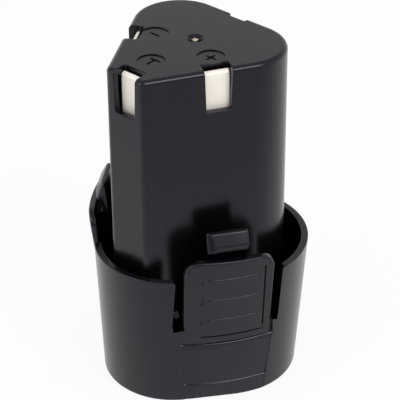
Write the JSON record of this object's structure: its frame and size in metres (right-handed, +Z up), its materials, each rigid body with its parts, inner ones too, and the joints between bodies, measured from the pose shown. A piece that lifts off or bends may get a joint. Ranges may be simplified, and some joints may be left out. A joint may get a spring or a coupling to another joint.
{
  "type": "power tool battery pack",
  "caption": "Slide-in battery pack for a cordless tool: a rounded three-sided cell tower with edge contacts, standing in a cup with sprung squeeze latches.",
  "frame": {"origin": "middle of the cup's underside, halfway between its sides and between its front and back at the rim", "axes": "+Z up out of the cup along the tower; -Y towards the tower's flat front with the sense contact; +X towards the plus contact's side"},
  "size_m": [0.0564, 0.0502, 0.0876],
  "materials": {
    "black_abs": "moulded satin black ABS",
    "zinc_steel": "zinc-plated steel",
    "foam": "closed-cell foam",
    "insulating_paper": "pressed insulating paper",
    "nickel": "rolled nickel strip",
    "dark_plastic": "moulded dark plastic",
    "can_steel": "drawn nickel-plated steel",
    "electrode_roll": "wound coated foil",
    "gasket_plastic": "moulded sealing ring",
    "sleeve_pvc": "shrink sleeve",
    "board_laminate": "solder-masked laminate",
    "chip_epoxy": "moulded epoxy",
    "shunt_metal": "alloy resistor",
    "chip_ceramic": "ceramic with tinned ends",
    "plated_contact": "bright nickel plating",
    "gilt_pin": "plated brass",
    "black_jacket": "silicone wire jacket",
    "white_jacket": "silicone wire jacket",
    "red_jacket": "enamelled wire",
    "copper": "stranded copper",
    "bead_epoxy": "dipped epoxy bead"
  },
  "bodies": {
    "pack": {"base_cup": "black_abs", "tower_housing": "black_abs", "case_screws": "zinc_steel", "base_foam": "foam", "lower_paper": "insulating_paper", "lower_link": "nickel", "negative_strip": "nickel", "lower_spacer": "dark_plastic", "right_cell_can": "can_steel", "right_cell_roll": "electrode_roll", "right_cell_gasket": "gasket_plastic", "right_cell_cap": "can_steel", "right_cell_ring": "insulating_paper", "right_cell_sleeve": "sleeve_pvc", "front_cell_can": "can_steel", "front_cell_roll": "electrode_roll", "front_cell_gasket": "gasket_plastic", "front_cell_cap": "can_steel", "front_cell_ring": "insulating_paper", "front_cell_sleeve": "sleeve_pvc", "left_cell_can": "can_steel", "left_cell_roll": "electrode_roll", "left_cell_gasket": "gasket_plastic", "left_cell_cap": "can_steel", "left_cell_ring": "insulating_paper", "left_cell_sleeve": "sleeve_pvc", "board_carrier": "dark_plastic", "positive_strip": "nickel", "upper_link": "nickel", "upper_paper": "insulating_paper", "circuit_board": "board_laminate", "switch_chips": "chip_epoxy", "monitor_chip": "chip_epoxy", "shunt": "shunt_metal", "chip_parts": "chip_ceramic", "plus_contact": "plated_contact", "sense_contact": "plated_contact", "minus_contact": "plated_contact", "test_pin": "gilt_pin", "negative_lead": "black_jacket", "negative_lead_core": "copper", "sense_lead": "white_jacket", "sense_lead_core": "copper", "thermistor_bead": "bead_epoxy", "thermistor_leads": "red_jacket"},
    "plus_latch": {"plus_latch": "black_abs"},
    "minus_latch": {"minus_latch": "black_abs"}
  },
  "joints": [
    {"name": "plus_latch_press", "type": "hinge", "parent": "pack", "child": "plus_latch", "pos_m": [0.0186, -0.00722, 0.0173], "axis": [-0.5606, -0.8281, 0], "range_deg": [0, 6], "stiffness_Nm_per_rad": 1.5},
    {"name": "minus_latch_press", "type": "hinge", "parent": "pack", "child": "minus_latch", "pos_m": [-0.0186, -0.00722, 0.0173], "axis": [-0.5606, 0.8281, 0], "range_deg": [0, 6], "stiffness_Nm_per_rad": 1.5}
  ]
}
